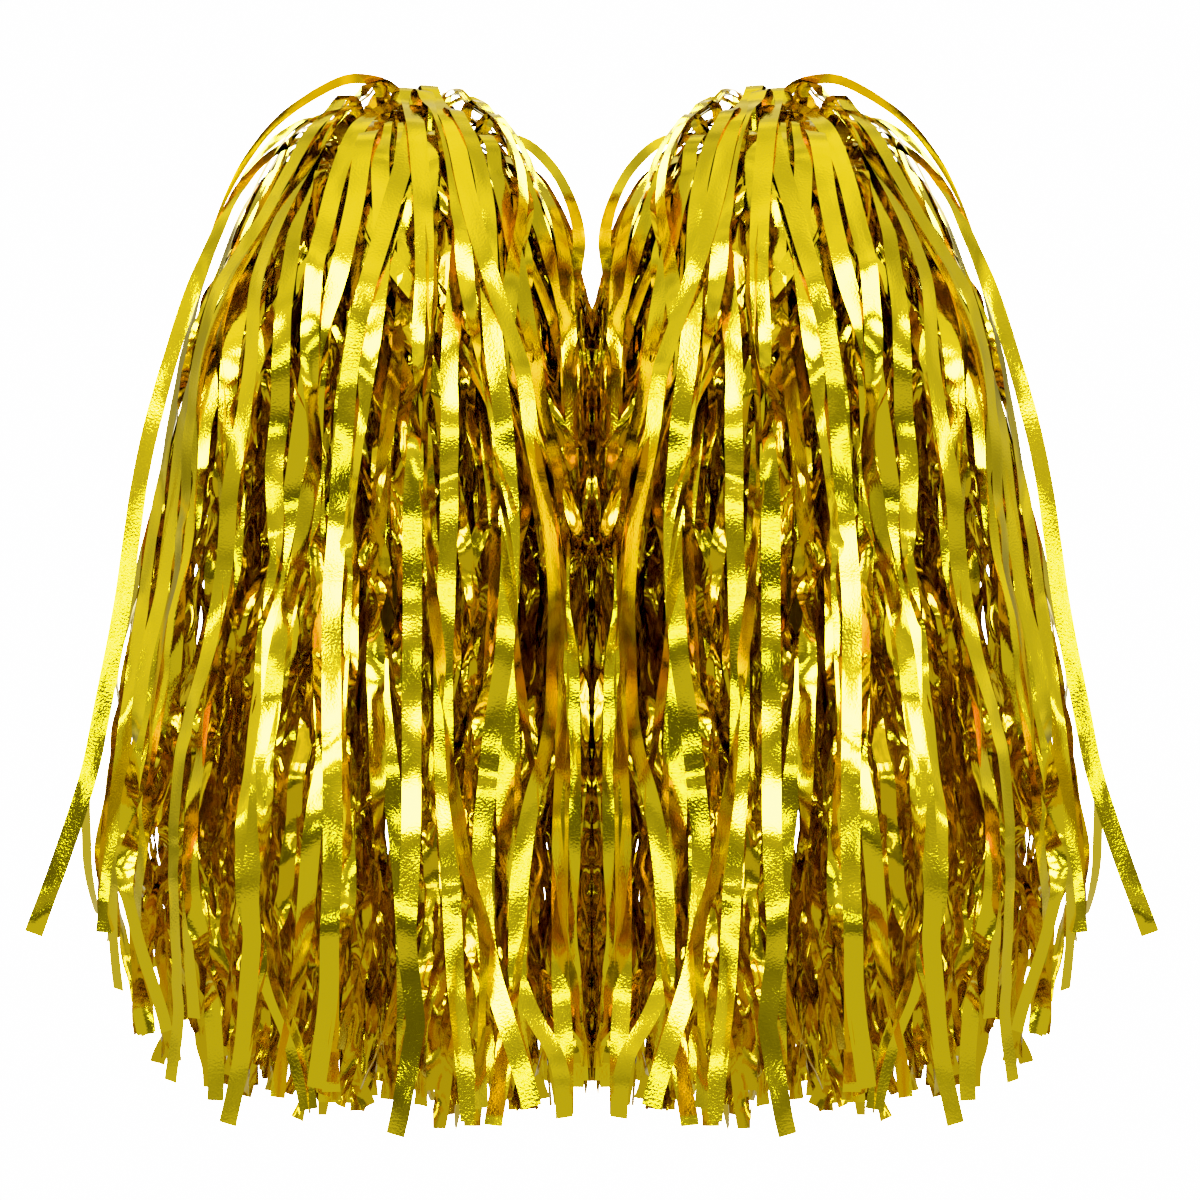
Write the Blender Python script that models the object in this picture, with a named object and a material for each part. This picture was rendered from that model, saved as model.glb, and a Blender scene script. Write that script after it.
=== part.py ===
"""A pair of foil cheer pom poms, each a stick handle with a fountain of streamers tied to its upper end.

Units are metres and +Z is up. The two pom poms stand side by side along X and touch at the plane X = 0.
The front is -Y. The origin is the centre of the pair's bounding box.
"""

import math

import bmesh
import bpy
from mathutils import Vector

# The pair
HALF_HEIGHT = 0.1715  # from the origin to the top of the crowns, and to the lowest streamer ends
AXIS_OFFSET = 0.061  # each handle's axis from the plane between the two pom poms
MIDDLE_GAP = 0.001  # from that plane to the side of each streamer skirt that is pressed flat
FIT_GAP = 0.0003  # between pieces that touch
SIDES = {"left": -1, "right": 1}

# The handle: a tube that the hand grips, with a plug in each end
TUBE_RADIUS = 0.011
TUBE_BORE_RADIUS = 0.0085
TUBE_BOTTOM = -0.047
TUBE_TOP = 0.088
PLUG_SHANK_RADIUS = TUBE_BORE_RADIUS - FIT_GAP
PLUG_SHANK_LENGTH = 0.014
CAP_RADIUS = 0.0155
CAP_FACE_RADIUS = 0.0125
CAP_THICKNESS = 0.006

# The two fringe headers rolled round the tube, with tape and cable ties over them
HEADER_BOTTOM = 0.052
HEADER_TOP = 0.090
INNER_HEADER_WALL = 0.0022
OUTER_HEADER_WALL = 0.0027
STRIP_LAP = 0.0004  # step where the outer end of a rolled strip lies on the turn below
TAPE_WALL = 0.0006
TAPE_MARGIN = 0.004  # header left bare above and below the tape
TIE_WIDTH = 0.0048
TIE_WALL = 0.0013
TIE_HEIGHTS = {"lower": 0.063, "upper": 0.079}
TIE_HEAD = (0.0070, 0.0052, 0.0062)  # across the strap's run, outwards, and up

# The streamers: a crown that arches over, and eight bundles that hang from its rim
SHOULDER_HEIGHT = 0.131
SHOULDER_RADIUS = 0.058
CROWN_CLEARANCE = 0.0015
NECK_RADIUS = 0.0160
SKIRT_WALL = 0.0110
BUNDLE_COUNT = 8
BUNDLE_GAP = math.radians(0.55)  # bare angle on each side of a bundle
PLEATS = 4  # in each bundle
PLEAT_DEPTH = 0.0028
END_STAGGER = 0.0085  # between long and short streamer ends
OUTER_END_RISE = 0.022  # how much higher the streamers end on the outer side, where they spread
INNER_END_RISE = 0.014  # and on the inner side
CROWN_PLEATS = 14
CROWN_PLEAT_DEPTH = 0.03  # share of the radius
TURN_STEPS = 28

# Height and radius of the skirt's outside, from the shoulder to the ends
SKIRT_OUTLINE = [
    (SHOULDER_HEIGHT, SHOULDER_RADIUS),
    (0.114, 0.0665),
    (0.094, 0.0720),
    (0.060, 0.0765),
    (0.010, 0.0830),
    (-0.050, 0.0935),
    (-0.110, 0.1010),
    (-HALF_HEIGHT + 2 * END_STAGGER, 0.1040),
    (-HALF_HEIGHT, 0.1050),
]
# Height and radius of the crown, from the neck's foot up its flared inside, over the top and down to the rim
CROWN_OUTLINE = [
    (HEADER_TOP + FIT_GAP, 0.0),
    (HEADER_TOP + FIT_GAP, NECK_RADIUS),
    (0.108, 0.0160),
    (0.125, 0.0210),
    (0.138, 0.0320),
    (SHOULDER_HEIGHT + CROWN_CLEARANCE, 0.0450),
    (SHOULDER_HEIGHT + CROWN_CLEARANCE, 0.0565),
    (0.146, 0.0490),
    (0.158, 0.0390),
    (0.167, 0.0260),
    (HALF_HEIGHT, 0.0120),
    (HALF_HEIGHT, 0.0),
]

# Bundles by name: the direction that each faces, in degrees round Z from the inner side (towards the other
# pom pom) by way of the front, and the direction in which it swings. None stays on the handle.
BUNDLES = {
    "inner": (0, None),
    "front_inner": (45, 90),
    "front": (90, 90),
    "front_outer": (135, 135),
    "outer": (180, 180),
    "back_outer": (225, 225),
    "back": (270, 270),
    "back_inner": (315, 270),
}


def clear_scene():
    for obj in list(bpy.data.objects):
        bpy.data.objects.remove(obj)


def make_material(name, colour, metallic, roughness):
    material = bpy.data.materials.new(name)
    material.use_nodes = True
    shader = material.node_tree.nodes["Principled BSDF"]
    shader.inputs["Base Color"].default_value = (*colour, 1.0)
    shader.inputs["Metallic"].default_value = metallic
    shader.inputs["Roughness"].default_value = roughness
    material.diffuse_color = (*colour, 1.0)
    return material


def add_object(name, bm, material, location, parent):
    """A smooth-shaded object from a bmesh whose points are measured from location."""
    bmesh.ops.recalc_face_normals(bm, faces=bm.faces)
    mesh = bpy.data.meshes.new(name)
    bm.to_mesh(mesh)
    bm.free()
    mesh.materials.append(material)
    mesh.shade_smooth()
    mesh.set_sharp_from_angle(angle=math.radians(35))
    obj = bpy.data.objects.new(name, mesh)
    bpy.context.scene.collection.objects.link(obj)
    obj.parent = parent
    obj.location = location
    return obj


def turned(outline):
    """A solid turned round Z from (height, radius) points, which form a ring or start and end at radius 0."""
    bm = bmesh.new()
    points = [bm.verts.new((radius, 0, height)) for height, radius in outline]
    edges = [bm.edges.new(pair) for pair in zip(points, points[1:])]
    if outline[0][1] > 0:
        edges.append(bm.edges.new((points[-1], points[0])))
    bmesh.ops.spin(bm, geom=points + edges, axis=(0, 0, 1), angle=math.tau, steps=TURN_STEPS, use_merge=True)
    bmesh.ops.remove_doubles(bm, verts=bm.verts, dist=1e-6)
    return bm


def lapped_ring(inner, outer, bottom, top):
    """A strip rolled into a ring round Z, whose outside climbs to a lap where the strip ends."""
    bm = bmesh.new()
    rows = []
    for step in range(TURN_STEPS + 1):
        angle = math.tau * step / TURN_STEPS
        outside = outer - STRIP_LAP * (1 - step / TURN_STEPS)
        corners = [(inner, bottom), (outside, bottom), (outside, top), (inner, top)]
        rows.append([bm.verts.new((r * math.cos(angle), r * math.sin(angle), z)) for r, z in corners])
    for row, next_row in zip(rows, rows[1:]):
        for k in range(4):
            bm.faces.new((row[k], next_row[k], next_row[(k + 1) % 4], row[(k + 1) % 4]))
    first, last = rows[0], rows[-1]
    bmesh.ops.pointmerge(bm, verts=[first[0], last[0]], merge_co=first[0].co)
    bmesh.ops.pointmerge(bm, verts=[first[3], last[3]], merge_co=first[3].co)
    inside_bottom, inside_top = first[0], first[3]
    bm.faces.new((first[1], last[1], last[2], first[2]))
    bm.faces.new((inside_bottom, last[1], first[1]))
    bm.faces.new((inside_top, first[2], last[2]))
    return bm


def tube():
    outline = [
        (TUBE_BOTTOM, TUBE_BORE_RADIUS),
        (TUBE_BOTTOM, TUBE_RADIUS),
        (TUBE_TOP, TUBE_RADIUS),
        (TUBE_TOP, TUBE_BORE_RADIUS),
    ]
    return turned(outline)


def end_cap():
    """A push-in cap with a flange wider than the tube, so that the handle doesn't slip from the hand."""
    flange_top = TUBE_BOTTOM - FIT_GAP
    face = flange_top - CAP_THICKNESS
    outline = [
        (TUBE_BOTTOM + PLUG_SHANK_LENGTH, 0.0),
        (TUBE_BOTTOM + PLUG_SHANK_LENGTH, PLUG_SHANK_RADIUS - 0.0008),
        (TUBE_BOTTOM + PLUG_SHANK_LENGTH - 0.002, PLUG_SHANK_RADIUS),
        (flange_top, PLUG_SHANK_RADIUS),
        (flange_top, CAP_RADIUS - 0.001),
        (flange_top - 0.001, CAP_RADIUS),
        (face + 0.0022, CAP_RADIUS),
        (face + 0.0006, CAP_RADIUS - 0.001),
        (face, CAP_FACE_RADIUS),
        (face, 0.0),
    ]
    return turned(outline)


def top_plug():
    flange_bottom = TUBE_TOP + FIT_GAP
    flange_top = HEADER_TOP
    outline = [
        (TUBE_TOP - PLUG_SHANK_LENGTH, 0.0),
        (TUBE_TOP - PLUG_SHANK_LENGTH, PLUG_SHANK_RADIUS - 0.0008),
        (TUBE_TOP - PLUG_SHANK_LENGTH + 0.002, PLUG_SHANK_RADIUS),
        (flange_bottom, PLUG_SHANK_RADIUS),
        (flange_bottom, TUBE_RADIUS),
        (flange_top - 0.0004, TUBE_RADIUS),
        (flange_top, TUBE_RADIUS - 0.0004),
        (flange_top, 0.0),
    ]
    return turned(outline)


def layer_radii():
    """(inside, outside) of each ring that is wound over the tube, from the tube outwards."""
    walls = {
        "inner_header": INNER_HEADER_WALL,
        "outer_header": OUTER_HEADER_WALL,
        "tape": TAPE_WALL,
        "tie": TIE_WALL,
    }
    radii, outside = {}, TUBE_RADIUS
    for name, wall in walls.items():
        inside = outside + FIT_GAP
        outside = inside + wall
        radii[name] = (inside, outside)
    return radii


def tie_band(inside, outside, height):
    low, high = height - TIE_WIDTH / 2, height + TIE_WIDTH / 2
    return turned([(low, inside), (low, outside), (high, outside), (high, inside)])


def block(size, centre):
    """A box with its far corners chamfered, as a cable tie's moulded head has."""
    bm = bmesh.new()
    bmesh.ops.create_cube(bm, size=1.0)
    bmesh.ops.scale(bm, vec=size, verts=bm.verts)
    bmesh.ops.translate(bm, vec=centre, verts=bm.verts)
    bmesh.ops.bevel(bm, geom=bm.edges[:], offset=0.0006, segments=1, affect="EDGES")
    return bm


def add_tie(name, radii, height, material, centre, parent, side):
    """A cable tie: its band, with the head united to it on the outer side of the pom pom."""
    inside, outside = radii
    tie = add_object(name, tie_band(inside, outside, height), material, centre, parent)
    across, depth, tall = TIE_HEAD
    head_centre = Vector((side * (outside + depth / 2 - TIE_WALL / 2), 0, height))
    head = add_object(f"{name}_head", block((depth, across, tall), head_centre), material, centre, parent)
    head.hide_render = True
    head.display_type = "WIRE"
    union = tie.modifiers.new("head", "BOOLEAN")
    union.operation = "UNION"
    union.solver = "EXACT"
    union.object = head
    return tie


def pressed(radius, angle):
    """The radius at an angle from the inner side, held back where the two skirts press on each other."""
    towards_middle = math.cos(angle)
    if towards_middle <= 0:
        return radius
    return min(radius, (AXIS_OFFSET - MIDDLE_GAP) / towards_middle)


def crown():
    """The streamers from the headers up and over: a neck that flares into a pleated dome."""
    bm = bmesh.new()
    steps = 2 * CROWN_PLEATS
    rings = []
    for height, radius in CROWN_OUTLINE:
        if radius == 0:
            rings.append([bm.verts.new((0, 0, height))])
            continue
        ring = []
        for step in range(steps):
            pleat = CROWN_PLEAT_DEPTH * (step % 2) * min(1.0, radius / SHOULDER_RADIUS)
            angle = math.tau * step / steps
            r = radius * (1 - pleat)
            ring.append(bm.verts.new((r * math.cos(angle), r * math.sin(angle), height)))
        rings.append(ring)
    for low, high in zip(rings, rings[1:]):
        for step in range(steps):
            after = (step + 1) % steps
            if len(low) == 1:
                bm.faces.new((low[0], high[step], high[after]))
            elif len(high) == 1:
                bm.faces.new((low[step], high[0], low[after]))
            else:
                bm.faces.new((low[step], high[step], high[after], low[after]))
    return bm


def end_rise(angle):
    """How much higher the streamers end at an angle from the inner side than they do in front."""
    towards_middle = math.cos(angle)
    rise = INNER_END_RISE if towards_middle > 0 else OUTER_END_RISE
    return rise * towards_middle**2


def bundle_point(side, angle, radius, height):
    """A point from the handle's axis, where angle 0 faces the other pom pom and 90 degrees the front."""
    return Vector((-side * radius * math.cos(angle), -radius * math.sin(angle), height))


def bundle(side, facing, hinge):
    """One bundle of streamers as a pleated wall with staggered ends, measured from its hinge."""
    bm = bmesh.new()
    half = math.pi / BUNDLE_COUNT - BUNDLE_GAP
    columns = 2 * PLEATS
    outer, inner = [], []
    last_row = len(SKIRT_OUTLINE) - 1
    for row, (height, radius) in enumerate(SKIRT_OUTLINE):
        outer.append([])
        inner.append([])
        share_of_drop = (SHOULDER_HEIGHT - height) / (SHOULDER_HEIGHT + HALF_HEIGHT)
        for column in range(columns + 1):
            valley = column % 2 == 0
            angle = math.radians(facing) + half * (2 * column / columns - 1)
            depth = PLEAT_DEPTH if valley and row > 0 else 0.0
            outside = pressed(radius, angle) - depth
            inside = pressed(radius, angle) - SKIRT_WALL
            z = height + end_rise(angle) * share_of_drop
            if valley and row == last_row:
                z += END_STAGGER
            outer[-1].append(bm.verts.new(bundle_point(side, angle, outside, z) - hinge))
            inner[-1].append(bm.verts.new(bundle_point(side, angle, inside, z) - hinge))
    for row in range(last_row):
        below = row + 1
        for column in range(columns):
            after = column + 1
            for wall in (outer, inner):
                bm.faces.new((wall[row][column], wall[row][after], wall[below][after], wall[below][column]))
        for column in (0, columns):
            bm.faces.new((outer[row][column], outer[below][column], inner[below][column], inner[row][column]))
    for column in range(columns):
        after = column + 1
        for row in (0, last_row):
            bm.faces.new((outer[row][column], inner[row][column], inner[row][after], outer[row][after]))
    return bm


def hinge_of(side, swing):
    """The middle of a bundle's hinge line on the shoulder, from the handle's axis."""
    if swing is None:
        return Vector((0, 0, 0))
    return bundle_point(side, math.radians(swing), SHOULDER_RADIUS, SHOULDER_HEIGHT)


def pom_pom(name, side, materials):
    parent = bpy.data.objects.new(f"{name}_pom_pom", None)
    bpy.context.scene.collection.objects.link(parent)
    parent.location = (side * AXIS_OFFSET, 0, 0)
    centre = Vector((0, 0, 0))
    radii = layer_radii()
    tape_span = (HEADER_BOTTOM + TAPE_MARGIN, HEADER_TOP - TAPE_MARGIN)
    pieces = {
        "grip_tube": (tube(), "handle"),
        "end_cap": (end_cap(), "handle"),
        "top_plug": (top_plug(), "handle"),
        "inner_header": (lapped_ring(*radii["inner_header"], HEADER_BOTTOM, HEADER_TOP), "foil"),
        "outer_header": (lapped_ring(*radii["outer_header"], HEADER_BOTTOM, HEADER_TOP), "foil"),
        "binding_tape": (lapped_ring(*radii["tape"], *tape_span), "tape"),
        "streamer_crown": (crown(), "foil"),
    }
    for piece, (bm, material) in pieces.items():
        add_object(f"{name}_{piece}", bm, materials[material], centre, parent)
    for level, height in TIE_HEIGHTS.items():
        add_tie(f"{name}_{level}_tie", radii["tie"], height, materials["tie"], centre, parent, side)
    for bundle_name, (facing, swing) in BUNDLES.items():
        hinge = hinge_of(side, swing)
        add_object(
            f"{name}_streamers_{bundle_name}", bundle(side, facing, hinge), materials["foil"], hinge, parent
        )


def main():
    clear_scene()
    materials = {
        "foil": make_material("gold_foil", (0.83, 0.66, 0.03), 1.0, 0.18),
        "handle": make_material("handle_plastic", (0.72, 0.50, 0.02), 0.0, 0.35),
        "tape": make_material("clear_tape", (0.62, 0.47, 0.06), 0.0, 0.25),
        "tie": make_material("tie_nylon", (0.80, 0.79, 0.74), 0.0, 0.45),
    }
    for name, side in SIDES.items():
        pom_pom(name, side, materials)


main()
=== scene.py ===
"""The looks of a pair of gold foil cheer pom poms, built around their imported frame.

Lengths are in metres and angles in degrees, unless a comment says otherwise.
"""

import math

import bpy
import numpy as np
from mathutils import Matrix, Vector


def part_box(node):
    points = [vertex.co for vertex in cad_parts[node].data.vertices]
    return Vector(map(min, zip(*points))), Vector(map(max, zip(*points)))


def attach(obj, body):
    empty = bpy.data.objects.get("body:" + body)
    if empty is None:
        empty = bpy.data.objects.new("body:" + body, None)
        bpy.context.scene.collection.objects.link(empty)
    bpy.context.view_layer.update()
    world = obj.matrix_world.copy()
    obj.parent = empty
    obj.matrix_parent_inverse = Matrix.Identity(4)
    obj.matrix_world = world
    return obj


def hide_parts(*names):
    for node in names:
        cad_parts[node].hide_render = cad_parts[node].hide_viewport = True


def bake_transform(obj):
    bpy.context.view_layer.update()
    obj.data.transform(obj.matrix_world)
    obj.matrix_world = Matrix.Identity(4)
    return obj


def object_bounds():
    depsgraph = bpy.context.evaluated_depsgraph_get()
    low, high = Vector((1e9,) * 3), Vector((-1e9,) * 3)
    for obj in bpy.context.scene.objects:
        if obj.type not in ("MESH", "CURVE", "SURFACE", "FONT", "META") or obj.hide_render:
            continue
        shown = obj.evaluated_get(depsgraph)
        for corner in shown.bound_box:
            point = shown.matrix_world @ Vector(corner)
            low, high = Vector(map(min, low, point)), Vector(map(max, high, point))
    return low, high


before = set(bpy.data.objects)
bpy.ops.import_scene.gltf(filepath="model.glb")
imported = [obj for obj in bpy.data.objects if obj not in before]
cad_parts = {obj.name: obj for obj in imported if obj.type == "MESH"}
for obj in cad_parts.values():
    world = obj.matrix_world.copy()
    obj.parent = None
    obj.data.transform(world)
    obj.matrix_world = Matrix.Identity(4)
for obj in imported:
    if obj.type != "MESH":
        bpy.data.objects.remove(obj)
cad_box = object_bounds()

# The frame's own sizes
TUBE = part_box("right_grip_tube")
AXIS_OFFSET = (TUBE[0][0] + TUBE[1][0]) / 2
HEADER_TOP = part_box("right_inner_header")[1][2]
TOP = cad_box[1][2]
BOTTOM = cad_box[0][2]
SIDES = {"left": -1, "right": 1}

# Streamers. A pom pom's own axes start on its handle's axis, with x towards the other pom pom.
# Its angles are 0 towards the other pom pom and 90 towards the front
STREAMER_WIDTH = 0.006
NECK_RADIUS = 0.0150  # where the streamers leave the header
MIDDLE_LIMIT = AXIS_OFFSET  # how far a streamer reaches towards the other pom pom
DEPTH_LIMIT = 0.117  # how far a streamer reaches to the front or back
OUTER_COUNT, MIDDLE_COUNT, INNER_COUNT = 60, 115, 215  # streamers in each layer of a pom pom
GOLDEN_ANGLE = 137.508  # the turn from one streamer to the next, which spreads them evenly
SEED = 45
# Height and radius of the outside of a pom pom, from its top to the streamers' ends
OUTSIDE = [
    (TOP, 0.006),
    (0.168, 0.018),
    (0.160, 0.030),
    (0.147, 0.041),
    (0.131, 0.051),
    (0.105, 0.064),
    (0.085, 0.072),
    (0.060, 0.077),
    (0.010, 0.085),
    (-0.050, 0.0945),
    (-0.110, 0.1015),
    (BOTTOM, 0.106),
]
SIDE_DRAW = 0.011  # how much less the ends reach to the sides than to the front
# How much higher the streamers end at the side than in front
OUTER_END_RISE = (0.030, 0.034)
INNER_END_RISE = 0.018
FRONT_END_RISE = 0.006  # how much higher they end in front than at the back

# The loose streamers that give the crown its outline: x, y and z along each, from the header to its end
STRAYS = {
    "outer_arc": [
        (-0.012, -0.002, 0.092), (-0.004, -0.004, 0.140), (-0.001, -0.007, 0.163), (-0.014, -0.010, 0.1694),
        (-0.027, -0.012, 0.165), (-0.041, -0.014, 0.1545), (-0.052, -0.016, 0.140), (-0.0595, -0.018, 0.124),
        (-0.0645, -0.020, 0.108), (-0.070, -0.022, 0.080), (-0.077, -0.026, 0.040), (-0.084, -0.030, -0.010),
        (-0.090, -0.034, -0.060), (-0.094, -0.038, -0.105),
    ],
    "outer_arc_low": [
        (-0.013, 0.004, 0.092), (-0.020, 0.006, 0.140), (-0.028, 0.008, 0.157), (-0.040, 0.010, 0.153),
        (-0.052, 0.012, 0.140), (-0.061, 0.014, 0.121), (-0.069, 0.016, 0.096), (-0.076, 0.020, 0.060),
        (-0.085, 0.022, 0.000), (-0.093, 0.026, -0.060), (-0.099, 0.030, -0.112),
    ],
    "curl": [
        (0.008, -0.012, 0.092), (0.010, -0.006, 0.135), (0.012, -0.006, 0.156), (0.0175, -0.007, 0.163),
        (0.0245, -0.008, 0.162), (0.028, -0.010, 0.156), (0.0245, -0.013, 0.150), (0.020, -0.022, 0.143),
        (0.024, -0.042, 0.118), (0.029, -0.056, 0.080), (0.032, -0.064, 0.030), (0.036, -0.070, -0.050),
        (0.038, -0.076, -0.110),
    ],
    "inner_arc": [
        (0.013, 0.004, 0.092), (0.014, 0.002, 0.135), (0.023, 0.000, 0.1495), (0.0373, -0.003, 0.150),
        (0.048, -0.005, 0.141), (0.0545, -0.007, 0.129), (0.057, -0.009, 0.117), (0.0555, -0.011, 0.106),
        (0.054, -0.014, 0.085), (0.055, -0.020, 0.050), (0.056, -0.028, 0.000), (0.057, -0.036, -0.060),
        (0.056, -0.044, -0.120),
    ],
    "inner_arc_low": [
        (0.013, -0.006, 0.092), (0.018, -0.008, 0.130), (0.028, -0.012, 0.143), (0.040, -0.015, 0.1395),
        (0.048, -0.018, 0.127), (0.052, -0.022, 0.112), (0.0535, -0.028, 0.090), (0.054, -0.036, 0.050),
        (0.0545, -0.044, 0.000), (0.055, -0.052, -0.060), (0.056, -0.058, -0.115),
    ],
    "outlier": [
        (-0.012, -0.006, 0.092), (-0.020, -0.010, 0.135), (-0.032, -0.014, 0.149), (-0.050, -0.020, 0.136),
        (-0.065, -0.026, 0.105), (-0.076, -0.030, 0.070), (-0.083, -0.033, 0.040), (-0.0885, -0.036, 0.000),
        (-0.095, -0.038, -0.035), (-0.099, -0.040, -0.055), (-0.107, -0.042, -0.080),
        (-0.116, -0.044, -0.105),
    ],
}
# The twist of each of them, in radians, at its header, halfway and at its end
STRAY_TWISTS = {
    "outer_arc": (0.9, 0.0, -1.0),
    "outer_arc_low": (-0.3, -0.6, -0.2),
    "curl": (0.5, 0.35, 0.2),
    "inner_arc": (0.6, 0.7, 0.9),
    "inner_arc_low": (0.3, 0.6, 0.3),
    "outlier": (-0.3, -0.8, -1.2),
}

# Bundles: the angle that each faces and the angle in which it swings, from the inner side by way of the front
BUNDLES = {
    "inner": (0, None),
    "front_inner": (45, 90),
    "front": (90, 90),
    "front_outer": (135, 135),
    "outer": (180, 180),
    "back_outer": (225, 225),
    "back": (270, 270),
    "back_inner": (315, 270),
}


def outside_radius(z):
    """The radius of a pom pom's outside at height z."""
    heights, radii = zip(*reversed(OUTSIDE))
    return np.interp(z, heights, radii)


def spline(points, spacing):
    """Points every spacing along a smooth curve through the points given."""
    p = np.array(points, float)
    p = np.vstack([2 * p[0] - p[1], p, 2 * p[-1] - p[-2]])
    t = np.linspace(0, 1, 24, endpoint=False)[:, None]
    pieces = []
    for a, b, c, d in zip(p, p[1:], p[2:], p[3:]):
        pieces.append(
            0.5 * (2 * b + (c - a) * t + (2 * a - 5 * b + 4 * c - d) * t**2 + (3 * b - a - 3 * c + d) * t**3)
        )
    dense = np.vstack(pieces + [p[-2:-1]])
    run = np.concatenate([[0], np.cumsum(np.linalg.norm(np.diff(dense, axis=0), axis=1))])
    s = np.linspace(0, run[-1], max(8, int(run[-1] / spacing) + 1))
    return s, np.stack([np.interp(s, run, dense[:, k]) for k in range(p.shape[1])], axis=1)


def wave(rng, s, amplitude, length):
    """A slow random sway along s."""
    total = np.zeros_like(s)
    for octave, share in ((1.0, 0.7), (0.55, 0.4), (0.3, 0.2)):
        stretch = length * octave * rng.uniform(0.8, 1.25)
        total += share * np.sin(2 * np.pi * s / stretch + rng.uniform(0, 2 * np.pi))
    return amplitude * total


def soft_limit(x, limit, margin):
    """x, eased so that it stays below limit."""
    over = np.maximum(x - limit + margin, 0)
    return x - over + margin * (1 - np.exp(-over / margin))


def kinked(rng, s, spacing, slope):
    """A sideways walk of straight stretches, as of film that was once folded, which comes back to 0."""
    knots, offsets = [0.0], [0.0]
    while knots[-1] < s[-1]:
        step = spacing * rng.uniform(0.5, 1.5)
        lean = rng.normal(0, slope) - 0.6 * offsets[-1] / (3 * spacing)
        knots.append(knots[-1] + step)
        offsets.append(offsets[-1] + lean * step)
    blur = np.ones(5) / 5
    line = np.interp(s, knots, offsets)
    return np.convolve(np.pad(line, 2, mode="edge"), blur, mode="valid")


def ease(x):
    """A smooth step from 0 at x = 0 to 1 at x = 1."""
    x = np.clip(x, 0, 1)
    return x * x * (3 - 2 * x)


def route(rng, spread, apex, apex_radius, fold, end_height, spacing):
    """(s, radius, height) along a streamer, from its header over the apex to its end."""
    neck = NECK_RADIUS + rng.uniform(-0.002, 0.001)
    inner_radius = max(apex_radius - fold, 0.004)
    rise = [
        (neck, HEADER_TOP - 0.004),
        (neck + 0.0005, HEADER_TOP + 0.012),
        (0.45 * neck + 0.55 * inner_radius, 0.45 * HEADER_TOP + 0.55 * apex),
        (inner_radius, apex - 1.1 * fold),
    ]
    over = [(apex_radius, apex), (apex_radius + fold, apex - 0.85 * fold)]
    heights = np.arange(apex - 2.4 * fold, end_height, -0.020)
    if heights[-1] - end_height > 0.008:
        heights = np.append(heights, end_height)
    hang = [(max(spread * float(outside_radius(z)), apex_radius + 1.2 * fold), z) for z in heights]
    s, path = spline(rise + over + hang, spacing)
    return s, path[:, 0], path[:, 1]


# How each style of streamer runs, in metres and radians: its points' spacing, its twist and how many
# turns it makes, its sideways slope, its own ripple in and out, its creases (how far apart, how deep,
# how long, and how far they lean along it), the folds along it and how much they draw it in
STYLES = {
    "smooth": dict(spacing=0.0030, twist=0.28, twist_length=0.24, turns=0.0, slope=0.060, ripple=0.0014,
                   ripple_length=0.11, creases=0.10, depth=0.0006, reach=0.007, lean=1.2, folds=0.00008,
                   fold_length=0.05, gather=1.0),
    "loose": dict(spacing=0.0028, twist=0.50, twist_length=0.16, turns=0.5, slope=0.095, ripple=0.0016,
                  ripple_length=0.09, creases=0.05, depth=0.0007, reach=0.007, lean=2.0, folds=0.00012,
                  fold_length=0.04, gather=0.97),
    "crinkled": dict(spacing=0.0020, twist=0.9, twist_length=0.10, turns=1.6, slope=0.11, ripple=0.0026,
                     ripple_length=0.08, creases=0.016, depth=0.0005, reach=0.006, lean=2.5, folds=0.00050,
                     fold_length=0.032, gather=0.80),
}


def drift(rng, amplitude):
    """A slow sway that neighbouring streamers share: a function of angle and height."""
    waves = [(rng.integers(1, 6), rng.uniform(0.14, 0.34), *rng.uniform(0, 2 * np.pi, 2)) for _ in range(7)]

    def sway(angle, height):
        total = sum(
            np.sin(turns * angle + a) * np.sin(2 * np.pi * height / length + b)
            for turns, length, a, b in waves
        )
        return amplitude * total / math.sqrt(len(waves) / 4)

    return sway


def strip(rng, look, s, centre, across, twist):
    """The grid of points of one streamer along its centre line, and each column's place across its width."""
    along = np.gradient(centre, axis=0)
    along /= np.linalg.norm(along, axis=1)[:, None]
    across = across - (across * along).sum(1)[:, None] * along
    across /= np.linalg.norm(across, axis=1)[:, None]
    out = np.cross(along, across)
    c, d = np.cos(twist)[:, None], np.sin(twist)[:, None]
    across, out = across * c + out * d, out * c - across * d
    w = STREAMER_WIDTH * np.array([-0.5, -1 / 6, 1 / 6, 0.5])
    count = max(1, int((s[-1] - s[0]) / look["creases"]))
    at = rng.uniform(s[0], s[-1], count)
    lean = rng.uniform(-1, 1, count) * look["lean"]
    depth = look["depth"] * rng.uniform(0.3, 1.3, count) * rng.choice([-1, 1], count)
    reach = look["reach"] * rng.uniform(0.6, 1.5, count)
    u = s[:, None, None] - at - w[None, :, None] * lean
    relief = (depth * np.maximum(0, 1 - np.abs(u) / reach)).sum(2)
    relief += np.stack([wave(rng, s, look["folds"], look["fold_length"]) for _ in w], axis=1)
    flat = w * look["gather"]
    return centre[:, None] + across[:, None] * flat[None, :, None] + out[:, None] * relief[:, :, None], w


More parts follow.
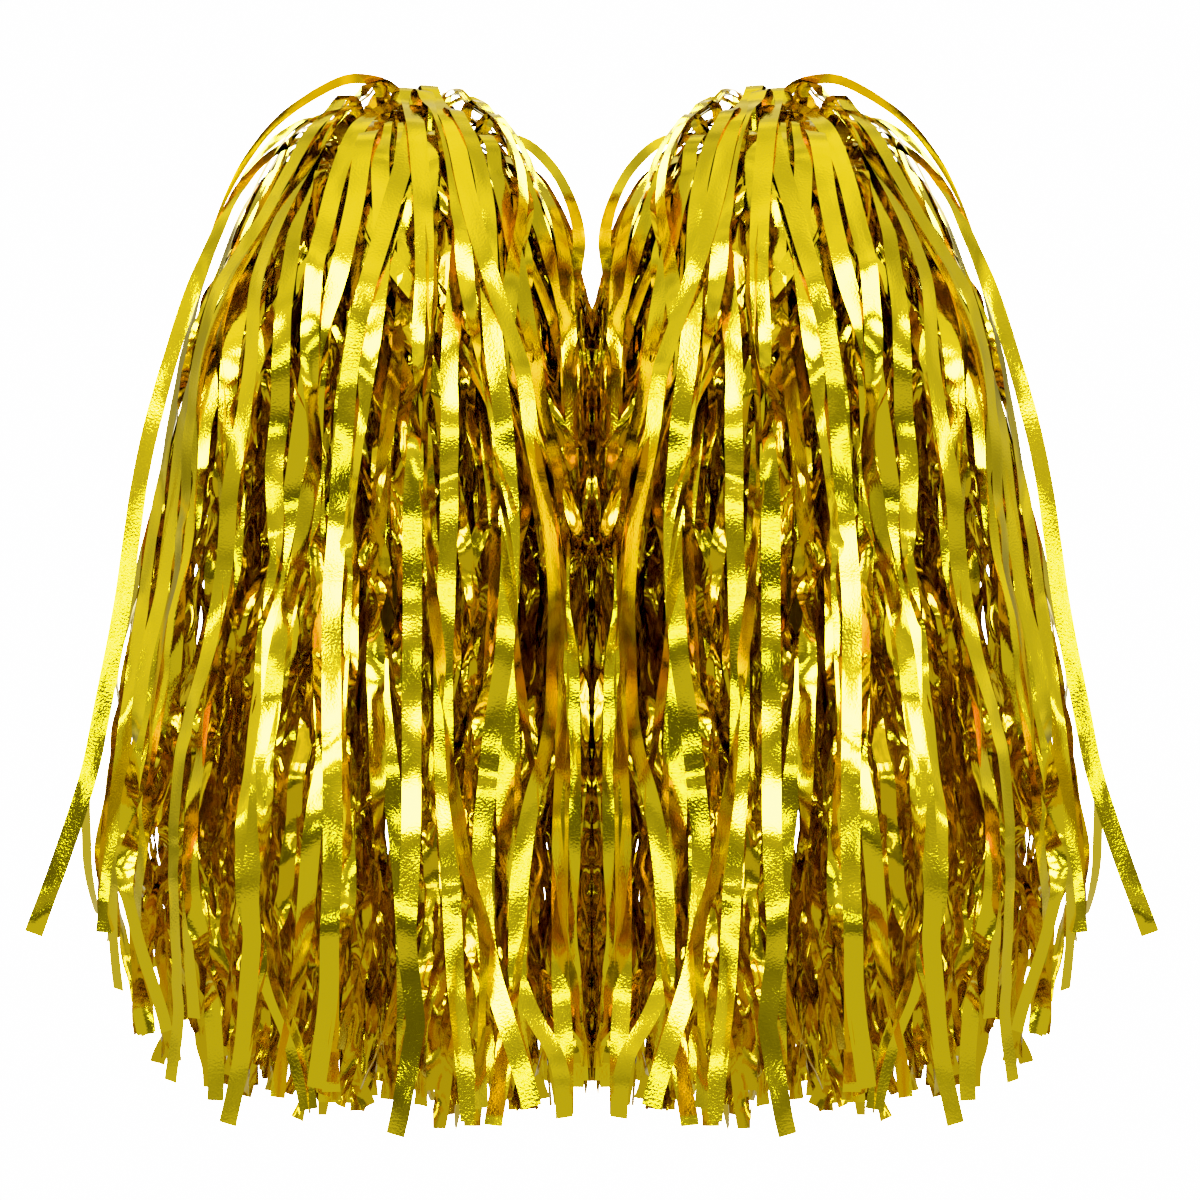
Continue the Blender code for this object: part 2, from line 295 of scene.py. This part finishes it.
def streamer(rng, style, angle, neck_angle, spread, apex, apex_radius, fold, end_height, sways, flare=0.0,
             splay=0.0, turn=None, facing=0.0, shift=(0.0, 0.0)):
    """(grid, s, w) of one streamer that hangs at the angle given. shift moves its apex off its radius."""
    look = STYLES[style]
    s, radius, height = route(rng, spread, apex, apex_radius, fold, end_height, look["spacing"])
    s = s - s[np.argmax(height)]
    past = ease((s + 0.005) / 0.12)
    hanging = ease((s - 0.02) / 0.08)
    end_run = np.maximum(s - s[-1] + rng.uniform(0.03, 0.08), 0)
    base_angle = math.radians(angle)
    side = kinked(rng, s - s[0], 0.070, look["slope"]) + sways[0](base_angle, height)
    side = side * hanging + splay * end_run
    ripple = wave(rng, s, look["ripple"], look["ripple_length"])
    radius = radius + hanging * (sways[1](base_angle, height) + ripple)
    drawn_in = SIDE_DRAW * math.cos(base_angle) ** 2 * ease((-0.08 - height) / 0.06)
    radius = radius + flare * end_run - drawn_in
    turned = past * math.radians(angle - neck_angle)
    theta = math.radians(neck_angle) + turned + side / np.maximum(radius, 0.03)
    rising = ease((height - HEADER_TOP) / (apex - HEADER_TOP))
    shifted = rising * np.where(s > 0, 1 - ease((s - 0.01) / 0.09), 1)
    x, y = radius * np.cos(theta) + shift[0] * shifted, -radius * np.sin(theta) + shift[1] * shifted
    past_middle = rng.uniform(-0.003, 0.002) if style == "crinkled" else rng.uniform(-0.009, -0.001)
    x = soft_limit(x, MIDDLE_LIMIT - 0.012 * max(0.0, 0.9 - spread) + past_middle, 0.006)
    y = np.sign(y) * soft_limit(np.abs(y), DEPTH_LIMIT, 0.01)
    across = np.stack([-np.sin(theta), -np.cos(theta), np.zeros_like(theta)], axis=1)
    twist = wave(rng, s, look["twist"], look["twist_length"]) * (0.25 + 0.75 * hanging)
    twist += rng.normal(0, look["turns"]) * math.pi * np.maximum(s, 0) / s[-1] + facing * hanging
    if turn is not None:
        centre_s, size, length = turn
        twist = twist + size * ease((s - centre_s) / length + 0.5)
    grid, w = strip(rng, look, s, np.stack([x, y, height], axis=1), across, twist)
    return grid, s - s[0], w


def stray(rng, name):
    """(grid, s, w) of one of the loose streamers."""
    look = STYLES["loose"]
    s, centre = spline(STRAYS[name], look["spacing"])
    theta = np.arctan2(-centre[:, 1], centre[:, 0])
    end_x = centre[-1, 0]
    across = np.stack([-np.sin(theta), -np.cos(theta), np.zeros_like(theta)], axis=1)
    across[centre[:, 2] > 0.12] = (0, -math.copysign(1, end_x), 0)
    across = np.array([across[max(0, i - 6):i + 7].mean(0) for i in range(len(s))])
    twist = np.interp(s / s[-1], (0, 0.5, 1), STRAY_TWISTS[name])
    grid, w = strip(rng, look, s, centre, across, twist)
    return grid, s, w


def end_rise(angle, spread):
    """How much higher than BOTTOM a streamer ends, for its angle and its share of the outside radius."""
    towards_middle = spread * math.cos(math.radians(angle))
    front = FRONT_END_RISE * max(0.0, spread * math.sin(math.radians(angle)))
    if towards_middle > 0:
        return front + INNER_END_RISE * towards_middle**2
    return front + OUTER_END_RISE[0] * towards_middle**2 + OUTER_END_RISE[1] * towards_middle**12


def bundle_of(angle):
    """The name of the bundle that faces nearest to the angle."""
    names = list(BUNDLES)
    return names[round((angle % 360) / 45) % len(names)]


def grow(rng):
    """Every streamer of one pom pom: its bundle, style and grid."""
    strands = []
    sways = drift(rng, 0.0022), drift(rng, 0.0030)

    def add(style, angle, turn_by, spread, apex, apex_share, fold, short, **bends):
        apex_radius = max(0.006, apex_share * float(outside_radius(apex)) * min(spread, 1.0))
        end_height = BOTTOM + 0.001 + end_rise(angle, min(spread, 1.0)) + short
        grid, s, w = streamer(rng, style, angle, angle + turn_by, spread, apex, apex_radius, fold, end_height,
                              sways, **bends)
        strands.append((bundle_of(angle + rng.uniform(-5, 5)), style, grid, s, w))

    # The outer layer: mostly smooth, a few turned over once
    for k in range(OUTER_COUNT):
        rank = k / OUTER_COUNT
        angle = k * GOLDEN_ANGLE + rng.uniform(-4, 4)
        style = "smooth" if rng.random() < 0.75 else "loose"
        turn = None
        if rng.random() < 0.20:
            turn = (rng.uniform(0.10, 0.32), rng.choice([-1, 1]) * math.pi, rng.uniform(0.03, 0.07))
        outward = max(0.0, -math.cos(math.radians(angle)))
        inward = max(0.0, math.cos(math.radians(angle)))
        spread = 0.935 + 0.08 * rank + 0.02 * outward * rng.random()
        if inward > 0.78:
            spread -= 0.10
            style = "crinkled" if rng.random() < 0.7 else style
        add(style, angle, rng.normal(0, 13), spread, 0.150 + 0.018 * rank + rng.uniform(-0.002, 0.002),
            rng.uniform(0.40, 1.05), rng.uniform(0.004, 0.0060), 0.030 * rng.random() ** 1.6,
            flare=rng.normal(0.0, 0.09) - 0.05 * outward, splay=rng.normal(0, 0.22), turn=turn,
            facing=rng.uniform(-1.1, 0.5) * outward**3 + rng.normal(0, 0.18),
            shift=(rng.uniform(-0.005, 0.005), rng.uniform(-0.005, 0.005)))
    # The middle layer: of every style, each turned over once
    for k in range(MIDDLE_COUNT):
        rank = k / MIDDLE_COUNT
        angle = k * GOLDEN_ANGLE + 60 + rng.uniform(-4, 4)
        style = rng.choice(["smooth", "loose", "crinkled"], p=[0.12, 0.28, 0.60])
        turn = (rng.uniform(0.05, 0.32), rng.choice([-1, 1]) * math.pi, rng.uniform(0.02, 0.06))
        add(style, angle, rng.normal(0, 25), 0.80 + 0.14 * rank, 0.136 + 0.020 * rank,
            rng.uniform(0.10, 0.85), rng.uniform(0.004, 0.008), 0.035 * rng.random() ** 1.4, turn=turn,
            splay=rng.normal(0, 0.20))
    # The inner layers: all crinkled
    for k in range(INNER_COUNT):
        rank = k / INNER_COUNT
        angle = k * GOLDEN_ANGLE + 20 + rng.uniform(-6, 6)
        add("crinkled", angle, rng.normal(0, 40), 0.10 + 0.69 * math.sqrt(rank), 0.116 + 0.026 * rank,
            rng.uniform(0.35, 0.85), rng.uniform(0.004, 0.009), 0.034 * rng.random() ** 1.2,
            splay=rng.normal(0, 0.18))
    for name in STRAYS:
        grid, s, w = stray(rng, name)
        x, y, _ = grid[-1].mean(0)
        strands.append((bundle_of(math.degrees(math.atan2(-y, x))), "smooth", grid, s, w))
    return strands


def foil_material(name, base, roughness, crinkle, grain):
    """Metallised film: mottled roughness, a fine grain, and folds that run along the streamer."""
    material = bpy.data.materials.new(name)
    material.use_nodes = True
    nodes, links = material.node_tree.nodes, material.node_tree.links
    shader = nodes["Principled BSDF"]
    shader.inputs["Metallic"].default_value = 1.0
    shader.inputs["Base Color"].default_value = (*base, 1.0)
    shader.inputs["Coat Weight"].default_value = 0.12
    shader.inputs["Coat Roughness"].default_value = 0.08
    uv = nodes.new("ShaderNodeUVMap")
    uv.uv_map = "strip"
    mottle = nodes.new("ShaderNodeTexNoise")
    mottle.inputs["Scale"].default_value = 900.0
    mottle.inputs["Detail"].default_value = 3.0
    links.new(uv.outputs["UV"], mottle.inputs["Vector"])
    spread = nodes.new("ShaderNodeMapRange")
    spread.inputs["From Min"].default_value = 0.3
    spread.inputs["From Max"].default_value = 0.7
    spread.inputs["To Min"].default_value = roughness * 0.75
    spread.inputs["To Max"].default_value = roughness * 1.3
    links.new(mottle.outputs["Fac"], spread.inputs["Value"])
    links.new(spread.outputs["Result"], shader.inputs["Roughness"])
    fine = nodes.new("ShaderNodeTexNoise")
    fine.inputs["Scale"].default_value = 1300.0
    links.new(uv.outputs["UV"], fine.inputs["Vector"])
    fine_bump = nodes.new("ShaderNodeBump")
    fine_bump.inputs["Strength"].default_value = grain
    fine_bump.inputs["Distance"].default_value = 0.00004
    links.new(fine.outputs["Fac"], fine_bump.inputs["Height"])
    stretched = nodes.new("ShaderNodeMapping")
    stretched.inputs["Scale"].default_value = (1.0, 0.12, 1.0)
    links.new(uv.outputs["UV"], stretched.inputs["Vector"])
    folds = nodes.new("ShaderNodeTexNoise")
    folds.inputs["Scale"].default_value = 300.0
    folds.inputs["Detail"].default_value = 1.0
    folds.inputs["Distortion"].default_value = 0.4
    links.new(stretched.outputs["Vector"], folds.inputs["Vector"])
    bump = nodes.new("ShaderNodeBump")
    bump.inputs["Strength"].default_value = crinkle
    bump.inputs["Distance"].default_value = 0.0004
    links.new(folds.outputs["Fac"], bump.inputs["Height"])
    links.new(fine_bump.outputs["Normal"], bump.inputs["Normal"])
    links.new(bump.outputs["Normal"], shader.inputs["Normal"])
    return material


def plastic_material(name, colour, roughness, metallic=0.0):
    """Moulded plastic, or anything else with an even, slightly uneven surface."""
    material = bpy.data.materials.new(name)
    material.use_nodes = True
    nodes, links = material.node_tree.nodes, material.node_tree.links
    shader = nodes["Principled BSDF"]
    shader.inputs["Base Color"].default_value = (*colour, 1.0)
    shader.inputs["Metallic"].default_value = metallic
    place = nodes.new("ShaderNodeTexCoord")
    noise = nodes.new("ShaderNodeTexNoise")
    noise.inputs["Scale"].default_value = 220.0
    links.new(place.outputs["Object"], noise.inputs["Vector"])
    spread = nodes.new("ShaderNodeMapRange")
    spread.inputs["To Min"].default_value = roughness * 0.8
    spread.inputs["To Max"].default_value = roughness * 1.25
    links.new(noise.outputs["Fac"], spread.inputs["Value"])
    links.new(spread.outputs["Result"], shader.inputs["Roughness"])
    bump = nodes.new("ShaderNodeBump")
    bump.inputs["Strength"].default_value = 0.15
    bump.inputs["Distance"].default_value = 0.0002
    links.new(noise.outputs["Fac"], bump.inputs["Height"])
    links.new(bump.outputs["Normal"], shader.inputs["Normal"])
    return material


def mesh_of(name, strands, side, materials):
    """One mesh of streamers, for the pom pom on the side given."""
    points, faces, slots, uvs = [], [], [], []
    start = 0
    # Crinkled streamers take the second material. Its darker, more amber colour is partly the film's own
    # colour and partly painted shade for the dimness deep inside the pom pom
    styles = {"smooth": 0, "loose": 0, "crinkled": 1}
    for number, (_, style, grid, s, w) in enumerate(strands):
        rows, columns = grid.shape[:2]
        p = grid.reshape(-1, 3).copy()
        p[:, 0] = side * AXIS_OFFSET - side * p[:, 0]
        points.append(p)
        a = (start + np.arange(rows - 1)[:, None] * columns + np.arange(columns - 1)[None]).ravel()
        quad = np.stack([a, a + 1, a + columns + 1, a + columns], axis=1)
        faces.append(quad if side < 0 else quad[:, ::-1])
        slots.append(np.full(len(quad), styles[style]))
        uv = np.stack(np.broadcast_arrays(w[None, :] + 0.05 * number, s[:, None]), axis=2).reshape(-1, 2)
        uvs.append(uv)
        start += len(p)
    points, faces, slots, uvs = (np.concatenate(part) for part in (points, faces, slots, uvs))
    mesh = bpy.data.meshes.new(name)
    mesh.vertices.add(len(points))
    mesh.vertices.foreach_set("co", points.ravel())
    mesh.loops.add(faces.size)
    mesh.loops.foreach_set("vertex_index", faces.ravel())
    mesh.polygons.add(len(faces))
    mesh.polygons.foreach_set("loop_start", np.arange(len(faces)) * 4)
    mesh.polygons.foreach_set("material_index", slots)
    mesh.update(calc_edges=True)
    layer = mesh.uv_layers.new(name="strip")
    layer.data.foreach_set("uv", uvs[faces.ravel()].ravel())
    for material in materials:
        mesh.materials.append(material)
    mesh.shade_smooth()
    obj = bpy.data.objects.new(name, mesh)
    bpy.context.scene.collection.objects.link(obj)
    return obj


def dress(name, side, strands, materials):
    """The streamers of one pom pom, a piece for each bundle."""
    for bundle, (_, swing) in BUNDLES.items():
        own = [strand for strand in strands if strand[0] == bundle]
        piece = mesh_of(f"{name}_foil_{bundle}", own, side, materials)
        node = f"{name}_streamers_{bundle}"
        if swing is None:
            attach(piece, f"{name}_handle")
            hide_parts(node, f"{name}_streamer_crown")
        else:
            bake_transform(piece)
            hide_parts(node)


SOFTBOX_COLOUR = (1.0, 1.2, 0.9)
SOFTBOX_DISTANCE = 2.2
KEY_PLACE = (-1.2, -1.6, 1.8)


def light(name, size, place, power, colour=(1, 1, 1)):
    """An area light aimed at the origin."""
    data = bpy.data.lights.new(name, "AREA")
    data.shape = "RECTANGLE"
    data.size, data.size_y = size
    data.energy = power
    data.color = colour
    obj = bpy.data.objects.new(name, data)
    obj.location = place
    obj.rotation_euler = (-Vector(place)).to_track_quat("-Z", "Y").to_euler()
    bpy.context.scene.collection.objects.link(obj)
    return obj


def softbox(name, width, height, azimuth, elevation, radiance):
    """A softbox that only the foil mirrors. Azimuth 0 is in front of the pair, and it grows towards +X."""
    a, e = math.radians(azimuth), math.radians(elevation)
    place = SOFTBOX_DISTANCE * Vector((math.sin(a) * math.cos(e), -math.cos(a) * math.cos(e), math.sin(e)))
    obj = light(name, (width, height), place, radiance * math.pi * width * height, SOFTBOX_COLOUR)
    obj.visible_diffuse = False


def glossy_surroundings(nodes, links):
    """The strength of what the foil mirrors, by direction: dim in front, brighter at the sides and above."""
    place = nodes.new("ShaderNodeTexCoord")
    axes = nodes.new("ShaderNodeSeparateXYZ")
    links.new(place.outputs["Generated"], axes.inputs["Vector"])
    profiles = {
        "front": [
            (-1, 0.36), (-0.25, 0.26), (-0.02, 0.13), (0.12, 0.18), (0.3, 0.30), (0.5, 0.60), (0.8, 0.84),
        ],
        "side": [(-1, 0.3), (-0.05, 0.28), (0.1, 0.50), (0.4, 0.66), (0.9, 0.66)],
    }
    height = nodes.new("ShaderNodeMapRange")
    height.inputs["From Min"].default_value = -1
    links.new(axes.outputs["Z"], height.inputs["Value"])
    outputs = []
    for stops in profiles.values():
        ramp = nodes.new("ShaderNodeValToRGB")
        elements = ramp.color_ramp.elements
        while len(elements) < len(stops):
            elements.new(0.5)
        for element, (z, value) in zip(elements, stops):
            element.position = (z + 1) / 2
            element.color = (value, value, value, 1)
        links.new(height.outputs["Result"], ramp.inputs["Fac"])
        outputs.append(ramp.outputs["Color"])
    width = nodes.new("ShaderNodeMath")
    width.operation = "ABSOLUTE"
    links.new(axes.outputs["X"], width.inputs[0])
    share = nodes.new("ShaderNodeMapRange")
    share.interpolation_type = "SMOOTHSTEP"
    share.inputs["From Min"].default_value = 0.35
    share.inputs["From Max"].default_value = 0.85
    links.new(width.outputs["Value"], share.inputs["Value"])
    mix = nodes.new("ShaderNodeMix")
    links.new(share.outputs["Result"], mix.inputs["Factor"])
    links.new(outputs[0], mix.inputs["A"])
    links.new(outputs[1], mix.inputs["B"])
    behind = nodes.new("ShaderNodeMapRange")
    behind.interpolation_type = "SMOOTHSTEP"
    behind.inputs["From Min"].default_value = 0.86
    behind.inputs["From Max"].default_value = 0.96
    links.new(axes.outputs["Y"], behind.inputs["Value"])
    both = nodes.new("ShaderNodeMix")
    both.inputs["B"].default_value = 1.3
    links.new(behind.outputs["Result"], both.inputs["Factor"])
    links.new(mix.outputs["Result"], both.inputs["A"])
    uneven = nodes.new("ShaderNodeTexNoise")
    uneven.inputs["Scale"].default_value = 2.6
    uneven.inputs["Detail"].default_value = 1.0
    links.new(place.outputs["Generated"], uneven.inputs["Vector"])
    gain = nodes.new("ShaderNodeMapRange")
    gain.inputs["From Min"].default_value = 0.32
    gain.inputs["From Max"].default_value = 0.68
    gain.inputs["To Min"].default_value = 0.66
    gain.inputs["To Max"].default_value = 1.32
    links.new(uneven.outputs["Fac"], gain.inputs["Value"])
    product = nodes.new("ShaderNodeMath")
    product.operation = "MULTIPLY"
    links.new(both.outputs["Result"], product.inputs[0])
    links.new(gain.outputs["Result"], product.inputs[1])
    return product.outputs["Value"]


def world_light():
    """The white backdrop, the light it gives, and what the foil mirrors of it."""
    scene = bpy.context.scene
    world = bpy.data.worlds.new("studio")
    scene.world = world
    world.use_nodes = True
    nodes, links = world.node_tree.nodes, world.node_tree.links
    background = nodes["Background"]
    path = nodes.new("ShaderNodeLightPath")
    seen = nodes.new("ShaderNodeMix")  # the white backdrop is brighter than the light it gives
    seen.inputs["A"].default_value = 1.05
    seen.inputs["B"].default_value = 12.0
    links.new(path.outputs["Is Camera Ray"], seen.inputs["Factor"])
    strength = nodes.new("ShaderNodeMix")
    links.new(path.outputs["Is Glossy Ray"], strength.inputs["Factor"])
    links.new(seen.outputs["Result"], strength.inputs["A"])
    links.new(glossy_surroundings(nodes, links), strength.inputs["B"])
    links.new(strength.outputs["Result"], background.inputs["Strength"])
    background.inputs["Color"].default_value = (1, 1, 1, 1)


def floor_plane():
    """A pale floor, which only light and mirrored rays meet, so that the backdrop stays plain."""
    bpy.ops.mesh.primitive_plane_add(size=9, location=(0, 0, BOTTOM - 0.003))
    floor = bpy.context.object
    floor.name = "floor"
    floor.visible_camera = False
    material = bpy.data.materials.new("floor")
    material.use_nodes = True
    shader = material.node_tree.nodes["Principled BSDF"]
    shader.inputs["Base Color"].default_value = (0.96, 0.96, 0.96, 1)
    shader.inputs["Roughness"].default_value = 0.9
    mirrored = material.node_tree.nodes.new("ShaderNodeEmission")
    mirrored.inputs["Strength"].default_value = 0.55
    either = material.node_tree.nodes.new("ShaderNodeMixShader")
    path = material.node_tree.nodes.new("ShaderNodeLightPath")
    links = material.node_tree.links
    links.new(path.outputs["Is Glossy Ray"], either.inputs["Fac"])
    links.new(shader.outputs["BSDF"], either.inputs[1])
    links.new(mirrored.outputs["Emission"], either.inputs[2])
    links.new(either.outputs["Shader"], material.node_tree.nodes["Material Output"].inputs["Surface"])
    floor.data.materials.append(material)


def studio():
    world_light()
    floor_plane()
    for azimuth in (-45, -15, 15, 45):
        softbox(f"front_{azimuth}", 0.62, 0.74, azimuth, 34, 11)
    for azimuth in (-36, 0, 36):
        softbox(f"front_low_{azimuth}", 1.0, 0.10, azimuth, 10, 5)
    for azimuth in (148, 212):
        softbox(f"back_{azimuth}", 0.55, 0.9, azimuth, 30, 12)
    for azimuth in (-72, 72):
        softbox(f"low_{azimuth}", 0.12, 1.0, azimuth, 4, 8)
    scene = bpy.context.scene
    scene.view_settings.view_transform = "Khronos PBR Neutral"
    key = light("key", (1.2, 1.2), KEY_PLACE, 40)
    key.visible_glossy = False
    scene.cycles.max_bounces = 12
    scene.cycles.glossy_bounces = 5
    scene.cycles.sample_clamp_indirect = 0.6  # keeps light caught between the streamers amber


def camera():
    """A long lens, level with the pair and straight in front of it."""
    distance, frame_width = 1.8, 0.390
    data = bpy.data.cameras.new("camera")
    data.sensor_width = 36
    data.lens = 36 * distance / frame_width
    obj = bpy.data.objects.new("camera", data)
    obj.location = (0.0026, -distance, 0.0008)
    obj.rotation_euler = (math.radians(90), 0, 0)
    bpy.context.scene.collection.objects.link(obj)
    bpy.context.scene.camera = obj


def main():
    camera()
    foil = [
        foil_material("gold_foil_smooth", (0.94, 0.73, 0.045), 0.075, 0.06, 1.0),
        # The crinkled foil fills the inner layers. Its darker, more amber base colour is partly its own
        # colour and partly painted shade for the dimness deep inside the pom pom
        foil_material("gold_foil_crinkled_painted_shade", (0.80, 0.57, 0.030), 0.10, 0.6, 0.6),
    ]
    header = plastic_material("gold_foil_header", (0.90, 0.70, 0.03), 0.25, 1.0)
    solids = {
        "grip_tube": plastic_material("handle_plastic", (0.72, 0.50, 0.02), 0.32),
        "binding_tape": plastic_material("clear_tape", (0.62, 0.47, 0.06), 0.22),
        "tie": plastic_material("tie_nylon", (0.80, 0.79, 0.74), 0.42),
    }
    solids.update(end_cap=solids["grip_tube"], top_plug=solids["grip_tube"], inner_header=header,
                  outer_header=header, lower_tie=solids["tie"], upper_tie=solids["tie"])
    strands = grow(np.random.default_rng(SEED))
    for name, side in SIDES.items():
        for piece in ("grip_tube", "end_cap", "top_plug", "inner_header", "outer_header", "binding_tape",
                      "lower_tie", "upper_tie"):
            for slot in bpy.data.objects[f"{name}_{piece}"].material_slots:
                slot.material = solids[piece]
        dress(name, side, strands, foil)
    studio()


main()
